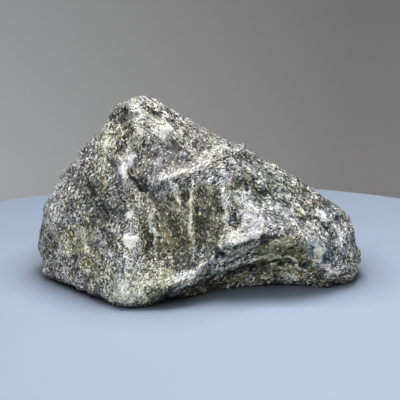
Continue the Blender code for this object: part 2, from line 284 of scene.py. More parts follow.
# Thin ridges and grooves that only this surface has, placed as the outline is: a line through
# points, then the height, the half width and how much lighter the grain is there.
FINE_LINES = (
    # The peak and its ridge.
    (((-33, 84), (-24, 78), (-18, 72), (-16, 69)), 0.5, 1.8, 0.32),
    (((-27, 83), (-19, 79), (-13, 73)), -0.3, 1.3, -0.22),
    (((-29, 71), (-31, 66), (-34, 59), (-36, 53), (-37, 49)), 0.7, 1.8, 0.26),
    (((-33, 84), (-34, 78), (-33, 72), (-36, 64)), -0.4, 1.3, -0.24),
    # The scar.
    (((-23, 66), (-28, 59), (-32, 54), (-33, 49), (-27, 43)), -0.6, 1.1, -0.16),
    (((-20, 66), (-12, 70), (-5, 65), (-3, 59)), 0.6, 1.2, 0.2),
    (((-25, 46), (-16, 48), (-8, 51), (-1, 53), (7, 54), (13, 54)), 0.2, 1.2, 0.12),
    (((-24, 59), (-19, 63), (-11, 64), (-6, 60)), -0.3, 0.9, -0.2),
    (((-22, 55), (-16, 59), (-9, 60)), 0.2, 0.9, 0.12),
    (((-33, 48), (-27, 42)), -0.8, 1.0, -0.4),
    (((2, 61), (8, 62), (14, 58), (20, 52)), 0.5, 1.1, 0.18),
    # The panel.
    (((-14, 46), (-11, 39), (-11, 33)), 0.6, 1.2, 0.42),
    (((-3, 47), (-4, 39), (-4, 31), (-5, 18)), 0.5, 1.0, 0.34),
    (((-28, 36), (-25, 28), (-22, 20), (-21, 12)), 0.7, 1.1, 0.42),
    (((12, 45), (11, 36), (12, 26), (9, 16)), 0.7, 1.2, 0.34),
    # The left faces.
    (((-60, 33), (-59, 24), (-57, 17), (-56, 12)), 0.7, 1.1, 0.16),
    (((-63, 22), (-62, 15), (-61, 9)), -0.6, 1.0, -0.34),
    (((-54, 46), (-50, 38), (-45, 33), (-38, 31)), -0.6, 1.1, -0.26),
    (((-46, 22), (-40, 14), (-41, 4)), -0.6, 1.1, -0.3),
    # The ledge.
    (((8, 11), (22, 17), (34, 20), (46, 22)), -0.7, 1.3, -0.28),
    (((-15, -2), (-2, 5), (10, 9), (22, 12)), 0.6, 1.2, 0.32),
    (((-7, -6), (10, 0), (17, 3)), -0.6, 1.2, -0.22),
    # The body.
    (((8, 15), (15, 18), (25, 21), (34, 24)), 0.6, 1.2, 0.16),
    (((32, 39), (40, 31), (46, 27)), 0.5, 1.0, 0.26),
    (((16, 55), (26, 46), (34, 41), (43, 39)), 0.5, 1.0, 0.28),
    (((20, 52), (30, 42), (41, 36), (52, 29)), -0.6, 1.0, -0.3),
    # The lobe, the hollow and the foot.
    (((58, 33), (69, 22), (75, 11)), 0.5, 1.0, 0.26),
    (((54, 31), (62, 23), (66, 13)), -0.6, 1.0, -0.28),
    (((55, 18), (58, 8), (63, 2)), 0.5, 1.2, 0.2),
    (((22, 7), (37, 11), (46, 9)), 0.6, 1.0, 0.3),
    (((16, 2), (34, 5), (49, 3)), 0.5, 1.0, 0.18),
    (((19, 4), (37, 7), (50, 6)), -0.6, 1.0, -0.3),
    (((34, 1), (49, 0)), 0.4, 1.0, 0.22),
)
# Clouds of calm all over: their size, least and most, and their seed.
CALM_CLOUDS = (14, 0.0, 0.5)
CALM_SEED = 40
# A patch that is wholly calm loses this share of its fine relief.
CALM_RELIEF = 0.8
# How sharp the patches' edges are, and the size and depth of the jags in them.
PATCH_FLATNESS = 5
PATCH_JAG_SIZE = 5
PATCH_JAG_DEPTH = 2.4
PATCH_JAG_SEED = 51

# The front's ridges and cracks change the tone over this share of their width.
LINE_TONE_WIDTH = 0.45

# Clouds of tone all over, as size and strength.
TONE_CLOUDS = ((19, 0.08), (8, 0.06), (3.6, 0.05))
CLOUD_SEED = 31
# Clouds of tint: size, seed, threshold and tint, and how sharp their edges are.
TINT_CLOUDS = (
    (24, 41, 0.1, "olive"), (17, 42, 0.3, "yellow"), (21, 43, 0.15, "blue"), (13, 44, 0.35, "plum"),
)
TINT_CLOUD_EDGE = 4
# How much stronger the clouds of tone are away from the front, where there are no patches.
BACK_CLOUDS = 2.0
# How much of a cloud's tint is left where the front's own patches lie.
FRONT_CLOUDS = 0.45
# Painted shade in hollows and painted highlight on edges: over how many grid steps they are read, the
# most that counts and how strongly.
HOLLOW_STEPS = (1, 3, 7)
HOLLOW_MOST = 0.25
HOLLOW_SHADE_AND_EDGE_HIGHLIGHT = 0.5
# Painted shadow at the foot of the stone, standing in for the dark gap under its edge: up to this
# height, by this much.
FOOT_SHADOW_HEIGHT = 4
FOOT_PAINTED_SHADOW = 0.5

# Tone of the grain, from 0, black, to 1, white, where nothing makes it lighter or darker, and the
# darkest and lightest that it may be.
BASE_LEVEL = 0.37
DARKEST, LIGHTEST = 0.06, 0.96
# The grain's colour is its tone to this power, times this.
TONE_POWER = 2.2
TONE_GAIN = 0.88
# How far the grains of each size change the tone.
GRAIN_SHARES = {"patch": 0.17, "coarse": 0.06, "middle": 0.06, "fine": 0.15, "dust": 1.2}
# Flecks among them: their size, the kinds of grain over which they set in, and how much lighter.
FLECKS = (
    ("dust", 0.885, 0.9, 0.4), ("fine", 0.95, 0.96, 0.32), ("fine", 0.12, 0.11, -0.24),
    ("middle", 0.95, 0.96, 0.26),
)
# Thin folds run where a noise passes a level: the level and how much lighter the grain is there,
# their half width in the noise, and the levels of a second noise over which they set in.
FOLDS = ((0.46, 0.26), (0.56, -0.24))
FOLD_WIDTH = 0.02
FOLD_LEVELS = (0.42, 0.52)
# The folds' noise is shrunk like this along the streaks, across them and into the stone.
FOLD_SHRINK = (0.35, 1, 1)
# How far the grains' edges wander (mm).
GRAIN_WANDER = 3.0
# Tints of the patches of one mineral, and the kind from 0 to 1 at which each sets in.
KIND_TINTS = (
    (0.0, (1.0, 1.0, 1.0)), (0.35, (1.0, 0.97, 0.82)), (0.55, (0.98, 1.0, 1.0)),
    (0.72, (1.0, 0.99, 0.88)), (0.86, (1.0, 0.97, 0.98)),
)
# Light grains lose their tint: the tones over which they do, how much of it at most, and how much
# more a fleck's lightness counts there.
PALE_TONES = (0.6, 1.0)
PALE_MOST = 0.7
PALE_FLECKS = 0.7
# Roughness of the grains from the smoothest to the roughest.
GRAIN_ROUGHNESS = (0.25, 0.7)
# How high the other grains stand out next to the middle ones.
BUMP_SHARES = {"fine": 0.5, "coarse": 1.5}

# The floor: its points, its rounded edge and depth, its middle (m), and the gap that keeps it and the
# stone's flat spot apart.
FLOOR_RINGS = 48
FLOOR_TURNS = 192
FLOOR_EDGE = 0.003
FLOOR_DEPTH = 0.02
FLOOR_MIDDLE = (0.006, -0.075)
FLOOR_GAP = 0.0002
# Its unevenness, and painted falls of light, darker far off and to the left: an axis, two places
# along it (m) and the tone at each.
FLOOR_UNEVEN = (0.96, 1.04)
FLOOR_PAINTED_FALLOFF = (("Y", -0.05, 0.15, 1.0, 0.7), ("X", -0.15, 0.15, 0.92, 1.04))
# Painted shadow on it within this reach of the stone (m), and how strongly.
FLOOR_SHADE_REACH = 0.03
FLOOR_SHADE_POWER = 1.3

# The backdrop turns from its left grey to its right grey between these shares of the way to the
# right, and its brightness falls upwards between two shares of the way up, from and to these.
BACKDROP_TURN = (-0.16, 0.1)
BACKDROP_FALL = (-0.27, -0.16, 1.18, 0.94)
# The soft lights: place and width, and the point that both face (m).
KEY_LIGHT = ((0.02, 0.2, 0.78), 0.4)
FILL_LIGHT = ((-0.1, -0.8, 0.75), 1.0)
LIGHT_AIM = (0, 0, 0.03)


class StoneSettings(bpy.types.PropertyGroup):
    """Sizes and finish of the stone."""

    turns: IntProperty(
        name="Turns", description="Points round the stone in each ring", default=330, min=12
    )
    rings: IntProperty(
        name="Rings", description="Rings from the right end to the left end", default=300, min=8
    )
    patch_grain: FloatProperty(
        name="Patch", description="Width of the patches of one mineral", default=0.0062, unit="LENGTH"
    )
    coarse_grain: FloatProperty(
        name="Coarse grain", description="Width of the largest grains", default=0.0029, unit="LENGTH"
    )
    middle_grain: FloatProperty(
        name="Middle grain", description="Width of the common grains", default=0.0015, unit="LENGTH"
    )
    fine_grain: FloatProperty(
        name="Fine grain", description="Width of the small grains", default=0.0007, unit="LENGTH"
    )
    dust_grain: FloatProperty(
        name="Dust", description="Width of the smallest grains", default=0.0005, unit="LENGTH"
    )
    contrast: FloatProperty(
        name="Contrast", description="How far the grains differ in tone", default=0.98, min=0
    )
    glitter: FloatProperty(
        name="Glitter", description="How far the grains' flat breaks lean", default=0.35, min=0
    )


class StageSettings(bpy.types.PropertyGroup):
    """The floor, the light and the camera."""

    floor_radius: FloatProperty(
        name="Floor radius", description="Radius of the round floor", default=0.235, unit="LENGTH"
    )
    floor_colour: FloatVectorProperty(
        name="Floor colour", description="Pale blue grey", default=(0.29, 0.36, 0.47), subtype="COLOR"
    )
    backdrop_left: FloatVectorProperty(
        name="Backdrop, left", description="Grey to the left", default=(0.315, 0.32, 0.325), subtype="COLOR"
    )
    backdrop_right: FloatVectorProperty(
        name="Backdrop, right", description="Grey to the right", default=(0.172, 0.168, 0.168),
        subtype="COLOR",
    )
    backdrop_light: FloatProperty(
        name="Backdrop light", description="How strongly the backdrop lights the stone", default=1.3, min=0
    )
    key_power: FloatProperty(
        name="Key light", description="The soft light above", default=7.5, unit="POWER"
    )
    fill_power: FloatProperty(
        name="Fill light", description="The soft light behind the viewer", default=7.5, unit="POWER"
    )
    camera_height: FloatProperty(
        name="Camera height", description="Angle above level", default=math.radians(17), subtype="ANGLE"
    )
    camera_distance: FloatProperty(
        name="Camera distance", description="From the aim", default=0.75, unit="LENGTH"
    )
    view_width: FloatProperty(
        name="View width", description="What the picture spans at the aim", default=0.195, unit="LENGTH"
    )
    aim: FloatVectorProperty(
        name="Aim", description="The middle of the picture", default=(0.0004, -0.002, 0.0392), unit="LENGTH"
    )


def facing(turn, tilt):
    """Unit vector that points turn degrees from the viewer towards the right, and tilt degrees up."""
    turn, tilt = math.radians(turn), math.radians(tilt)
    level = math.cos(tilt)
    return np.array([math.sin(turn) * level, -math.cos(turn) * level, math.sin(tilt)])


OUTLINE_UP = facing(180, 90 - OUTLINE_VIEW)
OUTLINE_AWAY = facing(180, -OUTLINE_VIEW)


def outline_reach(angles):
    """Distance from the heart to the outline, a closed ring of straight stretches, at each angle."""
    corners = np.array(OUTLINE, float) - (HEART[0], HEART @ OUTLINE_UP)
    corner_angles = np.arctan2(corners[:, 1], corners[:, 0])
    order = np.argsort(corner_angles)
    corners, corner_angles = corners[order], corner_angles[order]
    wrapped = (angles + math.pi) % (2 * math.pi) - math.pi
    after = np.searchsorted(corner_angles, wrapped) % len(corners)
    start = corners[after - 1]
    run = corners[after] - start
    area = start[:, 0] * run[:, 1] - start[:, 1] * run[:, 0]
    return area / (np.cos(wrapped) * run[:, 1] - np.sin(wrapped) * run[:, 0])


def puffed_nearness(rays):
    """One over the distance to the outline puffed out: a rounded lens with the outline as its rim."""
    right, high, deep = rays[:, 0], rays @ OUTLINE_UP, rays @ OUTLINE_AWAY
    angles = np.arctan2(high, right)
    eased = [outline_reach(angles + math.radians(turn)) for turn in (-OUTLINE_EASE, 0, OUTLINE_EASE)]
    rim = np.hypot(right, high) / (sum(eased) / len(eased))
    puff = np.where(deep < 0, -deep / PUFF_FRONT, deep / PUFF_BACK)
    return (rim**PUFF_FULLNESS + puff**PUFF_FULLNESS) ** (1 / PUFF_FULLNESS)


def lobe_reach(rays, names):
    """Distance from the heart to a lobe: a power mean of the distances to its faces and outline."""
    nearness = puffed_nearness(rays) ** FACE_SHARPNESS
    for turn, tilt, point in (FACES[name] for name in names):
        normal = facing(turn, tilt)
        distance = normal @ (np.array(point) - HEART)
        nearness += np.maximum(rays @ normal / distance, 0) ** FACE_SHARPNESS
    return nearness ** (-1 / FACE_SHARPNESS)


def undercut_reach(rays):
    """Distance from the heart at which a ray enters the undercut's ball, or FAR_OFF if it misses."""
    along = facing(90 + UNDERCUT_TURN, UNDERCUT_RISE)
    inward = facing(180 + UNDERCUT_TURN, 0)
    axes = np.array([along, inward, np.cross(along, inward)])
    start = axes @ (HEART - UNDERCUT_MIDDLE) / UNDERCUT_RADII
    step = rays @ axes.T / UNDERCUT_RADII
    square = (step**2).sum(axis=1)
    slant = step @ start
    discriminant = slant**2 - square * (start @ start - 1)
    enters = (discriminant > 0) & (slant < 0)
    return np.where(enters, (-slant - np.sqrt(np.maximum(discriminant, 0))) / square, FAR_OFF)


def body_reach(rays):
    """Distance from the heart to the main form: the further of the lobes, less the hollow."""
    lobes = [lobe_reach(rays, names) for names in (MAIN_BLOCK, KNOB_BLOCK)]
    reach = sum(lobe**LOBE_SHARPNESS for lobe in lobes) ** (1 / LOBE_SHARPNESS)
    nearness = reach**-HOLLOW_SHARPNESS + undercut_reach(rays) ** -HOLLOW_SHARPNESS
    return nearness ** (-1 / HOLLOW_SHARPNESS)


def lump_height(points, size, seed):
    """Smooth noise from about -1 to 1: a random slope at each corner of a cubic lattice, blended."""
    slopes = np.random.default_rng(seed).normal(size=(LATTICE, LATTICE, LATTICE, 3))
    slopes /= np.linalg.norm(slopes, axis=3)[..., None]
    cells = points / size
    base = np.floor(cells).astype(int)
    inside = cells - base
    fade = inside**3 * (inside * (inside * 6 - 15) + 10)
    total = np.zeros(len(points))
    for corner in itertools.product((0, 1), repeat=3):
        slope = slopes[tuple(((base + corner) % LATTICE).T)]
        weight = np.where(corner, fade, 1 - fade).prod(axis=1)
        total += weight * (slope * (inside - corner)).sum(axis=1)
    return total * LUMP_GAIN


def chip_height(points, size, seed, sharpness=CHIP_SHARPNESS):
    """Height of small flat breaks: near each seed point the surface is a plane of its own slope."""
    rng = np.random.default_rng(seed)
    seeds = rng.random((LATTICE, LATTICE, LATTICE, 3))
    slopes = rng.normal(size=(LATTICE, LATTICE, LATTICE, 3))
    cells = points / size
    base = np.floor(cells).astype(int)
    total = np.zeros(len(points))
    weights = np.zeros(len(points))
    for step in itertools.product((-1, 0, 1), repeat=3):
        cell = base + step
        index = tuple((cell % LATTICE).T)
        away = cells - cell - seeds[index]
        weight = np.exp(-sharpness * (away**2).sum(axis=1))
        total += weight * (slopes[index] * away).sum(axis=1)
        weights += weight
    return total / weights * size


def dent_share(spots, middle, halves, turn, flatness=2):
    """From 0 to 1: how far each spot is inside an oval, with a flat bottom and an eased edge."""
    turn = math.radians(turn)
    across, up = (spots - middle).T
    along = (across * math.cos(turn) + up * math.sin(turn)) / halves[0]
    beside = (up * math.cos(turn) - across * math.sin(turn)) / halves[1]
    return np.exp(-((along**2 + beside**2) ** flatness))


def line_share(spots, line, half_width):
    """From 0 to 1: how near each spot is to a line through the given points."""
    gap = np.full(len(spots), np.inf)
    for start, end in zip(line, line[1:]):
        run = np.subtract(end, start)
        along = np.clip((spots - start) @ run / (run @ run), 0, 1)
        gap = np.minimum(gap, np.linalg.norm(spots - start - along[:, None] * run, axis=1))
    return np.exp(-((gap / half_width) ** 2))


def front_spots(points):
    """Across and up as the outline is placed, and from 0 to 1 how far each point is in front."""
    spots = np.stack([points[:, 0], points @ OUTLINE_UP], axis=1)
    return spots, np.clip(0.5 - (points - HEART) @ OUTLINE_AWAY / FRONT_FADE, 0, 1)


def jagged_spots(points):
    """The front's spots, moved by noise so that patches and thin lines get jagged edges."""
    spots, in_front = front_spots(points)
    jags = [lump_height(points, PATCH_JAG_SIZE, PATCH_JAG_SEED + axis) for axis in range(2)]
    return spots + PATCH_JAG_DEPTH * np.stack(jags, axis=1), in_front


def relief(points):
    """Height of lumps, chips, dents, ridges and cracks at points of the main form."""
    height = np.zeros(len(points))
    for seed, (size, lump) in enumerate(LUMPS):
        height += lump * lump_height(points, size, seed)
    for seed, (size, steepness) in enumerate(CHIPS):
        height += steepness * chip_height(points, size, len(LUMPS) + seed)
    spots, in_front = front_spots(points)
    for middle, halves, turn, depth in FRONT_DENTS.values():
        height -= in_front * depth * dent_share(spots, middle, halves, turn)
    for line, line_height, half_width, _ in FRONT_LINES.values():
        height += in_front * line_height * line_share(spots, line, half_width)
    return height


def streak_places(points):
    """The places of both streak tables as points, with each one's angle and stretch.

    A front place is the point in front whose across and up are nearest to it.
    """
    spots, in_front = front_spots(points)
    front = np.flatnonzero(in_front > 0.5)
    places = []
    for middle, angle, stretch in FRONT_STREAKS:
        nearest = np.argmin(((spots[front] - middle) ** 2).sum(axis=1))
        places.append((points[front[nearest]], angle, stretch))
    places += OTHER_STREAKS
    middles, angles, stretches = zip(*places)
    return np.array(middles, float), np.radians(angles), np.array(stretches, float)


def streak_coordinates(points, angle, stretch):
    """Points in axes along the streaks, across them and into the stone, with the long ones shrunk."""
    right, high, deep = points[..., 0], points @ OUTLINE_UP, points @ OUTLINE_AWAY
    along = right * np.cos(angle) + high * np.sin(angle)
    beside = high * np.cos(angle) - right * np.sin(angle)
    return np.stack([along / stretch, beside, deep / INWARD_STRETCH], axis=-1)


def streak_height(points, places):
    """Height of the streaks: sharp-topped noise drawn out along them, blended between places."""
    middles, angles, stretches = places
    square = ((points[:, None] - middles) ** 2).sum(axis=2)
    shares = np.exp((square.min(axis=1)[:, None] - square) / STREAK_BLEND**2)
    shares /= shares.sum(axis=1)[:, None]
    height = np.zeros(len(points))
    for place, (angle, stretch) in enumerate(zip(angles, stretches)):
        near = np.flatnonzero(shares[:, place] > LEAST_SHARE)
        drawn = streak_coordinates(points[near], angle, stretch)
        for seed, (width, streak) in enumerate(STREAKS):
            ridges = 0.5 - 2 * np.abs(lump_height(drawn, width, STREAK_SEED + seed))
            height[near] += shares[near, place] * streak * ridges
    return height


def calmness(spots, in_front):
    """From 0 to 1: how calm the front's patches make each spot."""
    calm = np.zeros(len(spots))
    for middle, halves, turn, _, _, most in FRONT_PATCHES.values():
        calm = np.maximum(calm, in_front * most * dent_share(spots, middle, halves, turn, PATCH_FLATNESS))
    return calm


def fine_relief(points, places):
    """Height of the fine chips, streaks, grains and thin lines at points of the main form."""
    height = streak_height(points, places)
    for seed, (size, steepness) in enumerate(FINE_CHIPS):
        chips = chip_height(points, size, FINE_CHIP_SEED + seed, FINE_CHIP_SHARPNESS)
        height += steepness * np.clip(chips, -FINE_CHIP_LIMIT * size, FINE_CHIP_LIMIT * size)
    for seed, (size, grain) in enumerate(GRAINS):
        height += grain * lump_height(points, size, GRAIN_SEED + seed)
    spots, in_front = jagged_spots(points)
    height *= 1 - CALM_RELIEF * calmness(spots, in_front)
    for line, line_height, half_width, _ in FINE_LINES:
        height += in_front * line_height * line_share(spots, line, half_width)
    return height


def trimmed(height, turns, rings):
    """Fine height with each point held within SPIKE_LIMIT of the mean of the points two steps away."""
    grid = height[1:-1].reshape(rings - 1, turns)
    padded = np.pad(grid, ((2, 2), (0, 0)), mode="edge")
    mean = (padded[4:] + padded[:-4] + np.roll(grid, 2, axis=1) + np.roll(grid, -2, axis=1)) / 4
    held = np.clip(grid, mean - SPIKE_LIMIT, mean + SPIKE_LIMIT)
    return np.concatenate([height[:1], held.ravel(), height[-1:]])


def blank_rays(turns, rings):
    """Unit rays from the heart: the right end, rings round the X axis, then the left end.

    With s the turn round the X axis and e the angle from the right end, a ray is
    (cos e, -sin e cos s, sin e sin s), stretched like the stone. s is drawn together towards the viewer.
    """
    share = np.arange(turns) / turns * 2 * math.pi
    turn = share - DENSE_SHARE * np.sin(share) + math.radians(DENSE_TILT)
    angle = (np.arange(1, rings) / rings * math.pi)[:, None]
    level = np.cos(angle) * np.ones(turns)
    grid = np.stack([level, -np.sin(angle) * np.cos(turn), np.sin(angle) * np.sin(turn)], axis=2)
    rays = np.concatenate([[(1, 0, 0)], grid.reshape(-1, 3), [(-1, 0, 0)]]) * BLANK_RADII
    return rays / np.linalg.norm(rays, axis=1)[:, None]


def closed_triangles(turns, rings):
    """Two triangles between each pair of rings and turns, and a fan at each end, facing outwards."""
    ring = 1 + turns * np.arange(rings - 1)[:, None] + np.arange(turns)
    after = np.roll(ring, -1, axis=1)
    low, high, low_after, high_after = ring[:-1], ring[1:], after[:-1], after[1:]
    last = ring[-1, -1] + 1
    right_fan = [np.zeros(turns, int), after[0], ring[0]]
    left_fan = [np.full(turns, last), ring[-1], after[-1]]
    sides = [[low, high_after, high], [low, low_after, high_after], right_fan, left_fan]
    return np.concatenate([np.stack(side, axis=-1).reshape(-1, 3) for side in sides])


def set_down(points):
    """Pull points below the floor back along their rays, so that the stone stands on a flat spot."""
    below = points[:, 2] < 0
    share = HEART[2] / (HEART[2] - points[:, 2])
    return np.where(below[:, None], HEART + (points - HEART) * share[:, None], points)


def eased(vectors, turns, rings):
    """Vectors averaged with their neighbours in the grid, PUSH_EASE times over."""
    grid = vectors[1:-1].reshape(rings - 1, turns, 3)
    for _ in range(PUSH_EASE):
        padded = np.pad(grid, ((1, 1), (0, 0), (0, 0)), mode="edge")
        grid = padded[2:] + padded[:-2] + np.roll(grid, 1, axis=1) + np.roll(grid, -1, axis=1)
        grid /= 4
    return np.concatenate([vectors[:1], grid.reshape(-1, 3), vectors[-1:]])


def hollowness(points, turns, rings):
    """How far each point lies under the mean of the points round it, added up over HOLLOW_STEPS."""
    grid = points[1:-1].reshape(rings - 1, turns, 3)
    total = np.zeros(grid.shape[:2])
    for step in HOLLOW_STEPS:
        padded = np.pad(grid, ((step, step), (0, 0), (0, 0)), mode="edge")
        up, down = padded[2 * step :], padded[: -2 * step]
        left, right = np.roll(grid, step, axis=1), np.roll(grid, -step, axis=1)
        normal = np.cross(up - down, left - right)
        normal /= np.linalg.norm(normal, axis=2)[..., None]
        outward = np.sign((normal * (grid - HEART)).sum(axis=2))
        rise = ((up + down + left + right) / 4 - grid) * normal * outward[..., None]
        total += rise.sum(axis=2) / step
    ends = (total[0].mean(), total[-1].mean())
    return np.concatenate([ends[:1], total.ravel(), ends[1:]])


def paint(points):
    """Tone, tint and calm of the grain, with some painted shade and light among the front's patches:
    clouds all over, then the front's patches and lines.
    """
    spots, in_front = jagged_spots(points)
    tone_and_painted_light = np.zeros(len(points))
    size, least, most = CALM_CLOUDS
    calm = np.clip((least + most) / 2 + lump_height(points, size, CALM_SEED), least, most)
    calm = np.maximum(calm, calmness(spots, in_front))
    louder = BACK_CLOUDS + (1 - BACK_CLOUDS) * in_front
    for seed, (size, strength) in enumerate(TONE_CLOUDS):
        tone_and_painted_light += louder * strength * lump_height(points, size, CLOUD_SEED + seed)
    tint = np.tile(TINTS["grey"], (len(points), 1))
    clouds = 1 - (1 - FRONT_CLOUDS) * in_front
    for size, seed, threshold, name in TINT_CLOUDS:
        share = clouds * np.clip((lump_height(points, size, seed) - threshold) * TINT_CLOUD_EDGE, 0, 1)
        tint += share[:, None] * (np.array(TINTS[name]) - tint)
    for middle, halves, turn, lighter, colour, _ in FRONT_PATCHES.values():
        share = in_front * dent_share(spots, middle, halves, turn, PATCH_FLATNESS)
        tone_and_painted_light += share * lighter
        tint += share[:, None] * (np.array(TINTS[colour]) - tint)
    for line, _, half_width, lighter in FRONT_LINES.values():
        tone_and_painted_light += in_front * lighter * line_share(spots, line, half_width * LINE_TONE_WIDTH)
    for line, _, half_width, lighter in FINE_LINES:
        tone_and_painted_light += in_front * lighter * line_share(spots, line, half_width)
    return tone_and_painted_light, tint, calm


def grain_coordinates(corners, places):
    """Streak coordinates of each triangle's corners, all three in the axes of one streak place."""
    middles, angles, stretches = places
    centres = corners.mean(axis=1)
    jags = [lump_height(centres, JAG_SIZE, JAG_SEED + axis) for axis in range(3)]
    moved = centres + JAG_DEPTH * np.stack(jags, axis=1)
    place = np.argmin(((moved[:, None] - middles) ** 2).sum(axis=2), axis=1)
    return streak_coordinates(corners, angles[place, None], stretches[place, None] ** GRAIN_STRETCH)


def add_object(name, data):
    thing = bpy.data.objects.new(name, data)
    bpy.context.scene.collection.objects.link(thing)
    return thing


def write_attribute(mesh, name, kind, domain, field, values):
    attribute = mesh.attributes.new(name, kind, domain)
    attribute.data.foreach_set(field, np.ascontiguousarray(values, dtype=np.float32).ravel())


def fitted(points, like, box):
    """Points scaled and moved so that the box of like, which they share axes with, becomes box."""
    low, high = like.min(axis=0), like.max(axis=0)
    scale = (box[1][0] - box[0][0]) / (high - low)[0]
    middle = (low + high) / 2
    middle[2] = 0
    target = (np.array(box[0]) + np.array(box[1])) / 2
    target[2] = box[0][2]
    return (points - middle) * scale + target


def feed(tree, socket, value):
    """Link the socket if the value is another socket, else set it."""
    if isinstance(value, bpy.types.NodeSocket):
        tree.links.new(value, socket)
    else:
        socket.default_value = value


def put(tree, kind, **values):
    """A new node; each value goes to the input socket or, failing that, the setting of that name."""
    node = tree.nodes.new("ShaderNode" + kind)
    for name, value in values.items():
        socket = node.inputs.get(name.replace("_", " "))
        if socket is None:
            setattr(node, name, value)
        else:
            feed(tree, socket, value)
    return node


def reckon(tree, operation, *values):
    """Output of a Math node on sockets and numbers."""
    node = tree.nodes.new("ShaderNodeMath")
    node.operation = operation
    for socket, value in zip(node.inputs, values):
        feed(tree, socket, value)
    return node.outputs[0]


def combine(tree, operation, *values, scale=None):
    """Output of a Vector Math node on sockets and vectors."""
    node = tree.nodes.new("ShaderNodeVectorMath")
    node.operation = operation
    for socket, value in zip(node.inputs, values):
        feed(tree, socket, value)
    if scale is not None:
        feed(tree, node.inputs["Scale"], scale)
    return node.outputs[0]


def mapped(tree, value, start, end, first=0, last=1):
    """Output that goes from first to last as the value goes from start to end."""
    node = put(tree, "MapRange", Value=value, From_Min=start, From_Max=end, To_Min=first, To_Max=last)
    return node.outputs["Result"]


def bands(tree, factor, stops):
    """Colour of the last stop, of position and colour, that the factor has reached."""
    node = tree.nodes.new("ShaderNodeValToRGB")
    node.color_ramp.interpolation = "CONSTANT"
    feed(tree, node.inputs["Fac"], factor)
    elements = node.color_ramp.elements
    while len(elements) < len(stops):
        elements.new(1)
    for element, (position, colour) in zip(elements, stops):
        element.position = position
        element.color = (*colour, 1)
    return node.outputs["Color"]


def blend(tree, share, first, second):
    """Mix of two colours."""
    node = tree.nodes.new("ShaderNodeMix")
    node.data_type = "RGBA"
    feed(tree, node.inputs["Factor"], share)
    feed(tree, node.inputs[6], first)
    feed(tree, node.inputs[7], second)
    return node.outputs[2]


def new_group(name, inputs, outputs):
    """An empty shader node group with the named sockets, and its two end nodes."""
    tree = bpy.data.node_groups.new(name, "ShaderNodeTree")
    for socket_name, kind in inputs:
        tree.interface.new_socket(socket_name, in_out="INPUT", socket_type="NodeSocket" + kind)
    for socket_name, kind in outputs:
        tree.interface.new_socket(socket_name, in_out="OUTPUT", socket_type="NodeSocket" + kind)
    return tree, tree.nodes.new("NodeGroupInput"), tree.nodes.new("NodeGroupOutput")


def new_material(name):
    """A material, its node tree and its Principled shader."""
    material = bpy.data.materials.new(name)
    material.use_nodes = True
    return material, material.node_tree, material.node_tree.nodes["Principled BSDF"]


def grain_group():
    """Grains of one size: each has a shade and a kind from 0 to 1, and leans its own way."""
    tree, start, end = new_group(
        "labradorite grains",
        [("Vector", "Vector"), ("Width", "Float")],
        [("Shade", "Float"), ("Kind", "Float"), ("Lean", "Vector")],
    )
    scale = reckon(tree, "DIVIDE", 1, start.outputs["Width"])
    cells = put(tree, "TexVoronoi", Vector=start.outputs["Vector"], Scale=scale)
    parts = put(tree, "SeparateColor", Color=cells.outputs["Color"])
    lean = combine(tree, "SUBTRACT", cells.outputs["Color"], (0.5, 0.5, 0.5))
    feed(tree, end.inputs["Shade"], parts.outputs["Red"])
    feed(tree, end.inputs["Kind"], parts.outputs["Green"])
    feed(tree, end.inputs["Lean"], lean)
    return tree


def place_group(tree, group, **values):
    node = tree.nodes.new("ShaderNodeGroup")
    node.node_tree = group
    for name, value in values.items():
        feed(tree, node.inputs[name], value)
    return node


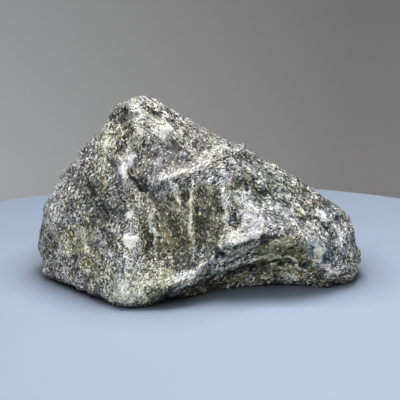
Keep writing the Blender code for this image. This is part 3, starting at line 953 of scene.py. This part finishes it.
def stone_material(settings):
    """Grey-green rock of light and dark grains, tinted by place, with glittering flat breaks."""
    material, tree, shader = new_material("raw labradorite")
    along = put(tree, "Attribute", attribute_name="grain").outputs["Vector"]
    tone_and_painted_light = put(tree, "Attribute", attribute_name="tone_and_painted_light").outputs["Fac"]
    calm = put(tree, "Attribute", attribute_name="calm").outputs["Fac"]
    tint = put(tree, "Attribute", attribute_name="tint").outputs["Color"]
    wobble = put(tree, "TexNoise", Vector=along, Scale=0.35, Detail=4.0, Roughness=0.65)
    shift = combine(tree, "SUBTRACT", wobble.outputs["Color"], (0.5, 0.5, 0.5))
    bent = combine(tree, "ADD", along, combine(tree, "SCALE", shift, scale=GRAIN_WANDER))
    group = grain_group()
    grains = {
        name: place_group(tree, group, Vector=bent, Width=getattr(settings, name + "_grain") / MM).outputs
        for name in GRAIN_SHARES
    }

    spread = 0.0
    for name, share in GRAIN_SHARES.items():
        offset = reckon(tree, "SUBTRACT", grains[name]["Shade"], 0.5)
        spread = reckon(tree, "MULTIPLY_ADD", offset, share, spread)
    noise = put(tree, "TexNoise", Vector=combine(tree, "MULTIPLY", bent, FOLD_SHRINK), Scale=0.3, Detail=3.0)
    where = put(tree, "TexNoise", Vector=along, Scale=0.11)
    drawn = mapped(tree, where.outputs["Fac"], *FOLD_LEVELS)
    for fold_level, lighter in FOLDS:
        gap = reckon(tree, "ABSOLUTE", reckon(tree, "SUBTRACT", noise.outputs["Fac"], fold_level))
        fold = mapped(tree, gap, 0, FOLD_WIDTH, lighter, 0)
        spread = reckon(tree, "MULTIPLY_ADD", fold, drawn, spread)
    flecks = 0.0
    for name, first, last, lighter in FLECKS:
        fleck = mapped(tree, grains[name]["Kind"], first, last, 0, lighter)
        flecks = reckon(tree, "ADD", fleck, flecks)
    strength = reckon(tree, "MULTIPLY_ADD", calm, -settings.contrast, settings.contrast)
    level = reckon(tree, "ADD", reckon(tree, "ADD", tone_and_painted_light, BASE_LEVEL), flecks)
    level = reckon(tree, "MULTIPLY_ADD", spread, strength, level)

    held = put(tree, "Clamp", Value=level, Min=DARKEST, Max=LIGHTEST).outputs["Result"]
    grey = reckon(tree, "MULTIPLY", reckon(tree, "POWER", held, TONE_POWER), TONE_GAIN)
    tinted = combine(tree, "MULTIPLY", tint, bands(tree, grains["patch"]["Kind"], KIND_TINTS))
    paler = reckon(tree, "MULTIPLY_ADD", flecks, PALE_FLECKS, level)
    pale = mapped(tree, paler, *PALE_TONES, 0, PALE_MOST)
    colour = combine(tree, "MULTIPLY", grey, blend(tree, pale, tinted, (1, 1, 1, 1)))
    feed(tree, shader.inputs["Base Color"], colour)
    feed(tree, shader.inputs["Roughness"], mapped(tree, grains["fine"]["Shade"], 0, 1, *GRAIN_ROUGHNESS))

    height = grains["middle"]["Shade"]
    for name, share in BUMP_SHARES.items():
        height = reckon(tree, "MULTIPLY_ADD", grains[name]["Shade"], share, height)
    bump = put(tree, "Bump", Height=height, Strength=0.5, Distance=0.0004)
    leaning = combine(tree, "ADD", grains["middle"]["Lean"], grains["fine"]["Lean"])
    leaning = combine(tree, "ADD", leaning, grains["coarse"]["Lean"])
    leaning = combine(tree, "SCALE", leaning, scale=settings.glitter)
    normal = combine(tree, "ADD", bump.outputs["Normal"], leaning)
    feed(tree, shader.inputs["Normal"], combine(tree, "NORMALIZE", normal))
    return material


def floor_material(colour):
    """Smooth matt paint, faintly uneven, with painted shade far off and to the left and a painted shadow
    close to the stone.
    """
    material, tree, shader = new_material("pale floor")
    place = put(tree, "TexCoord").outputs["Object"]
    noise = put(tree, "TexNoise", Vector=place, Scale=9.0, Detail=3.0)
    share = mapped(tree, noise.outputs["Fac"], 0, 1, *FLOOR_UNEVEN)
    parts = put(tree, "SeparateXYZ", Vector=place)
    # Painted falloff of light: darker far off and to the left.
    for axis, *painted_falloff in FLOOR_PAINTED_FALLOFF:
        share = reckon(tree, "MULTIPLY", share, mapped(tree, parts.outputs[axis], *painted_falloff))
    # Painted contact shadow round the stone.
    painted_contact_shadow = put(tree, "AmbientOcclusion", Distance=FLOOR_SHADE_REACH, samples=8).outputs["AO"]
    share = reckon(tree, "MULTIPLY", share, reckon(tree, "POWER", painted_contact_shadow, FLOOR_SHADE_POWER))
    feed(tree, shader.inputs["Base Color"], combine(tree, "SCALE", tuple(colour), scale=share))
    shader.inputs["Roughness"].default_value = 0.55
    return material


def build_stone(settings):
    """The whole stone: form, relief, fine relief and flat spot, with its grain, tone and tint, and painted
    shade in its hollows and at its foot and painted highlight on its edges.
    """
    turns, rings = settings.turns, settings.rings
    rays = blank_rays(turns, rings)
    form = HEART + rays * body_reach(rays)[:, None]
    triangles = closed_triangles(turns, rings)
    mesh = bpy.data.meshes.new("labradorite")
    mesh.from_pydata(form, [], triangles)
    normals = np.empty(form.size)
    mesh.vertices.foreach_get("normal", normals)
    push = rays + eased(normals.reshape(-1, 3), turns, rings)
    push /= np.linalg.norm(push, axis=1)[:, None]
    places = streak_places(form)
    height = relief(form)
    plain = set_down(form + push * height[:, None])
    height += trimmed(fine_relief(form, places), turns, rings)
    drawn = set_down(form + push * height[:, None])
    tone_and_painted_light, tint, calm = paint(drawn)
    # Painted shade in the hollows and painted highlight on the edges.
    tone_and_painted_light -= HOLLOW_SHADE_AND_EDGE_HIGHLIGHT * np.clip(hollowness(drawn, turns, rings), -HOLLOW_MOST, HOLLOW_MOST)
    # Painted shadow along the foot, darkest at the floor.
    tone_and_painted_light -= FOOT_PAINTED_SHADOW * np.clip(1 - drawn[:, 2] / FOOT_SHADOW_HEIGHT, 0, 1)
    mesh.vertices.foreach_set("co", fitted(drawn, plain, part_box("stone")).ravel())
    mesh.update()
    grain = grain_coordinates(drawn[triangles], places)
    write_attribute(mesh, "grain", "FLOAT_VECTOR", "CORNER", "vector", grain)
    write_attribute(mesh, "tone_and_painted_light", "FLOAT", "POINT", "value", tone_and_painted_light)
    write_attribute(mesh, "calm", "FLOAT", "POINT", "value", calm)
    write_attribute(mesh, "tint", "FLOAT_COLOR", "POINT", "color", np.insert(tint, 3, 1, axis=1))
    mesh.shade_smooth()
    mesh.materials.append(stone_material(settings))
    stone = add_object("labradorite", mesh)
    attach(stone, "root")
    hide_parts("stone")


def build_floor(settings):
    """A round floor: a profile of distance out and height, turned about +Z, with a rounded edge.

    The height is 0 up to the edge, then falls along a quarter circle to the edge's depth.
    """
    arc = np.linspace(0, math.pi / 2, 9)
    flat = np.linspace(0, settings.floor_radius - FLOOR_EDGE, FLOOR_RINGS)[1:-1]
    out = np.concatenate([flat, settings.floor_radius - FLOOR_EDGE * (1 - np.sin(arc))])
    height = np.concatenate([flat * 0, FLOOR_EDGE * (np.cos(arc) - 1)])
    out = np.append(out, out[-1])[:, None]
    height = np.append(height, -FLOOR_DEPTH)[:, None]
    turn = np.arange(FLOOR_TURNS) / FLOOR_TURNS * 2 * math.pi
    grid = np.stack([out * np.cos(turn), -out * np.sin(turn), height * np.ones(FLOOR_TURNS)], axis=2)
    points = np.concatenate([[(0, 0, 0)], grid.reshape(-1, 3), [(0, 0, -FLOOR_DEPTH)]])
    points += (*FLOOR_MIDDLE, -FLOOR_GAP)
    triangles = closed_triangles(FLOOR_TURNS, len(out) + 1)
    mesh = bpy.data.meshes.new("floor")
    mesh.from_pydata(points, [], triangles)
    mesh.shade_smooth()
    mesh.set_sharp_from_angle(angle=math.radians(40))
    mesh.materials.append(floor_material(settings.floor_colour))
    add_object("floor", mesh)


def build_backdrop(settings):
    """A plain grey world, lighter to the left and low down."""
    world = bpy.data.worlds.new("grey backdrop")
    world.use_nodes = True
    bpy.context.scene.world = world
    tree = world.node_tree
    way = put(tree, "TexCoord").outputs["Generated"]
    parts = put(tree, "SeparateXYZ", Vector=way)
    share = mapped(tree, parts.outputs["X"], *BACKDROP_TURN)
    colour = blend(tree, share, (*settings.backdrop_left, 1), (*settings.backdrop_right, 1))
    background = tree.nodes["Background"]
    feed(tree, background.inputs["Color"], colour)
    shown = mapped(tree, put(tree, "LightPath").outputs["Is Camera Ray"], 0, 1, settings.backdrop_light, 1)
    low = mapped(tree, parts.outputs["Z"], *BACKDROP_FALL)
    feed(tree, background.inputs["Strength"], reckon(tree, "MULTIPLY", shown, low))


def add_light(name, place, size, power):
    """A soft square light that points at the stone."""
    light = bpy.data.lights.new(name, "AREA")
    light.size = size
    light.energy = power
    lamp = add_object(name, light)
    lamp.location = place
    lamp.rotation_euler = (Vector(LIGHT_AIM) - lamp.location).to_track_quat("-Z", "Y").to_euler()


def build_camera(settings):
    """A long lens at the photograph's height, aimed so that the stone lies as it does there."""
    camera = bpy.data.cameras.new("camera")
    camera.sensor_width = 36
    camera.lens = camera.sensor_width * settings.camera_distance / settings.view_width
    holder = add_object("camera", camera)
    back = Vector(facing(0, math.degrees(settings.camera_height)))
    holder.location = Vector(settings.aim) + back * settings.camera_distance
    holder.rotation_euler = (-back).to_track_quat("-Z", "Y").to_euler()
    bpy.context.scene.camera = holder


class LABRADORITE_OT_stone(bpy.types.Operator):
    """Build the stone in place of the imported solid"""

    bl_idname = "labradorite.stone"
    bl_label = "Stone"

    def execute(self, context):
        build_stone(context.scene.labradorite_stone)
        return {"FINISHED"}


class LABRADORITE_OT_stage(bpy.types.Operator):
    """Build the floor, the backdrop, the lights and the camera"""

    bl_idname = "labradorite.stage"
    bl_label = "Stage"

    def execute(self, context):
        settings = context.scene.labradorite_stage
        build_floor(settings)
        build_backdrop(settings)
        add_light("key", *KEY_LIGHT, settings.key_power)
        add_light("fill", *FILL_LIGHT, settings.fill_power)
        build_camera(settings)
        context.scene.view_settings.view_transform = "Standard"
        return {"FINISHED"}


class LABRADORITE_PT_panel(bpy.types.Panel):
    """Builds the stone and its stage"""

    bl_idname = "LABRADORITE_PT_panel"
    bl_label = "Raw Labradorite"
    bl_space_type = "VIEW_3D"
    bl_region_type = "UI"
    bl_category = "Labradorite"

    def draw(self, context):
        for operator, settings in (
            (LABRADORITE_OT_stone, context.scene.labradorite_stone),
            (LABRADORITE_OT_stage, context.scene.labradorite_stage),
        ):
            box = self.layout.box()
            for name in settings.__annotations__:
                box.prop(settings, name)
            box.operator(operator.bl_idname)


CLASSES = (
    StoneSettings,
    StageSettings,
    LABRADORITE_OT_stone,
    LABRADORITE_OT_stage,
    LABRADORITE_PT_panel,
)


def register():
    for each in CLASSES:
        bpy.utils.register_class(each)
    bpy.types.Scene.labradorite_stone = PointerProperty(type=StoneSettings)
    bpy.types.Scene.labradorite_stage = PointerProperty(type=StageSettings)


def unregister():
    del bpy.types.Scene.labradorite_stage
    del bpy.types.Scene.labradorite_stone
    for each in reversed(CLASSES):
        bpy.utils.unregister_class(each)


def main():
    register()
    bpy.ops.labradorite.stone()
    bpy.ops.labradorite.stage()


if __name__ == "__main__":
    main()
